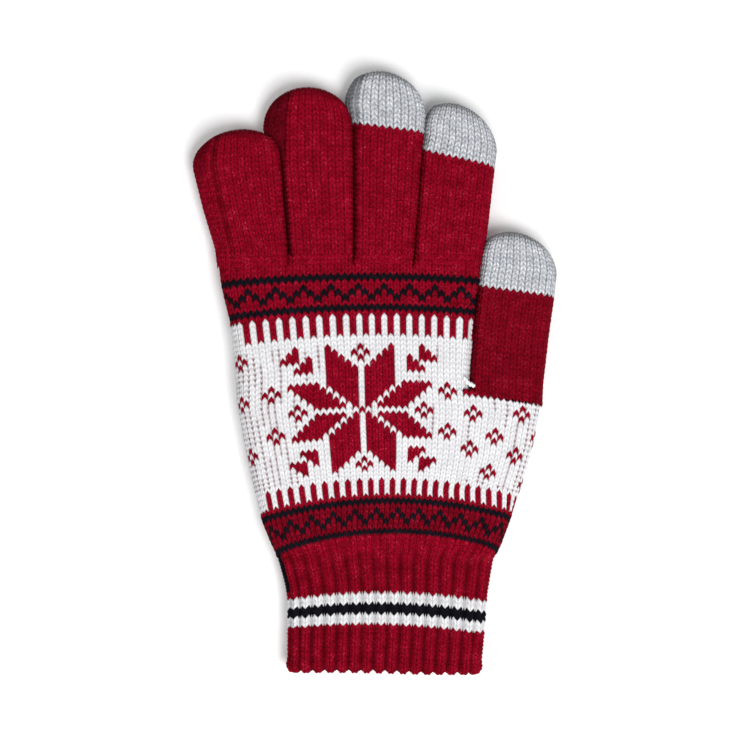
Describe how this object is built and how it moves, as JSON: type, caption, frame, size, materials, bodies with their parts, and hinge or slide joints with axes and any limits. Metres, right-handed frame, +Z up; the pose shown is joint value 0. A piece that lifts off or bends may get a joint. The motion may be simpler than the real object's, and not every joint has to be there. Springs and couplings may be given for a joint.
{
  "type": "knitted touchscreen glove",
  "caption": "Left-hand knitted glove with jacquard star panel, bordered bands, ribbed striped cuff, hinged fingers and conductive fingertip caps.",
  "frame": {"origin": "the centre of the glove's footprint, on the surface that it lies on", "axes": "+Y towards the fingertips, +X towards the thumb, +Z up out of the back of the hand"},
  "size_m": [0.125, 0.2114, 0.013],
  "materials": {
    "red_yarn": "brushed acrylic knit",
    "white_yarn": "brushed acrylic knit",
    "black_yarn": "brushed acrylic knit",
    "conductive_yarn": "silver-grey conductive knit",
    "jacquard_panel": "two-colour jacquard knit",
    "border_jacquard": "two-colour jacquard knit",
    "elastic_thread": "bare elastic"
  },
  "bodies": {
    "hand": {"knuckle_panel": "red_yarn", "upper_border_band": "border_jacquard", "star_panel": "jacquard_panel", "lower_border_band": "border_jacquard", "crotch_stitches": "red_yarn"},
    "cuff": {"cuff_upper_rib": "red_yarn", "cuff_white_stripe_upper": "white_yarn", "cuff_black_stripe": "black_yarn", "cuff_white_stripe_lower": "white_yarn", "cuff_lower_rib": "red_yarn", "cuff_hem": "red_yarn", "cuff_elastic_threads": "elastic_thread"},
    "pinky_base": {"pinky_base": "red_yarn"},
    "pinky_mid": {"pinky_mid": "red_yarn"},
    "pinky_tip": {"pinky_tip": "red_yarn", "pinky_tip_knot": "red_yarn"},
    "ring_base": {"ring_base": "red_yarn"},
    "ring_mid": {"ring_mid": "red_yarn"},
    "ring_tip": {"ring_tip": "red_yarn", "ring_tip_knot": "red_yarn"},
    "middle_base": {"middle_base": "red_yarn"},
    "middle_mid": {"middle_mid": "red_yarn"},
    "middle_tip": {"middle_tip": "red_yarn", "middle_touch_cap": "conductive_yarn", "middle_tip_knot": "red_yarn"},
    "index_base": {"index_base": "red_yarn"},
    "index_mid": {"index_mid": "red_yarn"},
    "index_tip": {"index_tip": "red_yarn", "index_touch_cap": "conductive_yarn", "index_tip_knot": "red_yarn"},
    "thumb_base": {"thumb_base": "red_yarn"},
    "thumb_tip": {"thumb_tip": "red_yarn", "thumb_touch_cap": "conductive_yarn", "thumb_tip_knot": "red_yarn"}
  },
  "joints": [
    {"name": "wrist", "type": "hinge", "parent": "hand", "child": "cuff", "pos_m": [0.0042, -0.065, 0.006], "axis": [1, 0, 0], "range_deg": [-60, 60]},
    {"name": "pinky_knuckle", "type": "hinge", "parent": "hand", "child": "pinky_base", "pos_m": [-0.0436, 0.0415, 0.0055], "axis": [-1, 0, 0], "range_deg": [-10, 80]},
    {"name": "pinky_middle_joint", "type": "hinge", "parent": "pinky_base", "child": "pinky_mid", "pos_m": [-0.04699, 0.05816, 0.0055], "axis": [-1, 0, 0], "range_deg": [0, 80]},
    {"name": "pinky_end_joint", "type": "hinge", "parent": "pinky_mid", "child": "pinky_tip", "pos_m": [-0.04948, 0.07041, 0.0055], "axis": [-1, 0, 0], "range_deg": [0, 40]},
    {"name": "ring_knuckle", "type": "hinge", "parent": "hand", "child": "ring_base", "pos_m": [-0.0191, 0.0435, 0.0055], "axis": [-1, 0, 0], "range_deg": [-10, 80]},
    {"name": "ring_middle_joint", "type": "hinge", "parent": "ring_base", "child": "ring_mid", "pos_m": [-0.02142, 0.06638, 0.0055], "axis": [-1, 0, 0], "range_deg": [0, 80]},
    {"name": "ring_end_joint", "type": "hinge", "parent": "ring_mid", "child": "ring_tip", "pos_m": [-0.02309, 0.0828, 0.0055], "axis": [-1, 0, 0], "range_deg": [0, 40]},
    {"name": "middle_knuckle", "type": "hinge", "parent": "hand", "child": "middle_base", "pos_m": [0.003, 0.0435, 0.0055], "axis": [-1, 0, 0], "range_deg": [-10, 80]},
    {"name": "middle_middle_joint", "type": "hinge", "parent": "middle_base", "child": "middle_mid", "pos_m": [0.003, 0.065, 0.0055], "axis": [-1, 0, 0], "range_deg": [0, 80]},
    {"name": "middle_end_joint", "type": "hinge", "parent": "middle_mid", "child": "middle_tip", "pos_m": [0.003, 0.0815, 0.0055], "axis": [-1, 0, 0], "range_deg": [0, 40]},
    {"name": "index_knuckle", "type": "hinge", "parent": "hand", "child": "index_base", "pos_m": [0.0256, 0.0435, 0.0055], "axis": [-1, 0, 0], "range_deg": [-10, 80]},
    {"name": "index_middle_joint", "type": "hinge", "parent": "index_base", "child": "index_mid", "pos_m": [0.02747, 0.05989, 0.0055], "axis": [-1, 0, 0], "range_deg": [0, 80]},
    {"name": "index_end_joint", "type": "hinge", "parent": "index_mid", "child": "index_tip", "pos_m": [0.02888, 0.07231, 0.0055], "axis": [-1, 0, 0], "range_deg": [0, 40]},
    {"name": "thumb_knuckle", "type": "hinge", "parent": "hand", "child": "thumb_base", "pos_m": [0.04605, -0.005, 0.0055], "axis": [-1, 0, 0], "range_deg": [-10, 70]},
    {"name": "thumb_end_joint", "type": "hinge", "parent": "thumb_base", "child": "thumb_tip", "pos_m": [0.04887, 0.02185, 0.0055], "axis": [-1, 0, 0], "range_deg": [0, 70]}
  ],
  "couplings": [
    {"joint": "pinky_end_joint", "follows": "pinky_middle_joint", "ratio": 0.5},
    {"joint": "ring_end_joint", "follows": "ring_middle_joint", "ratio": 0.5},
    {"joint": "middle_end_joint", "follows": "middle_middle_joint", "ratio": 0.5},
    {"joint": "index_end_joint", "follows": "index_middle_joint", "ratio": 0.5}
  ]
}
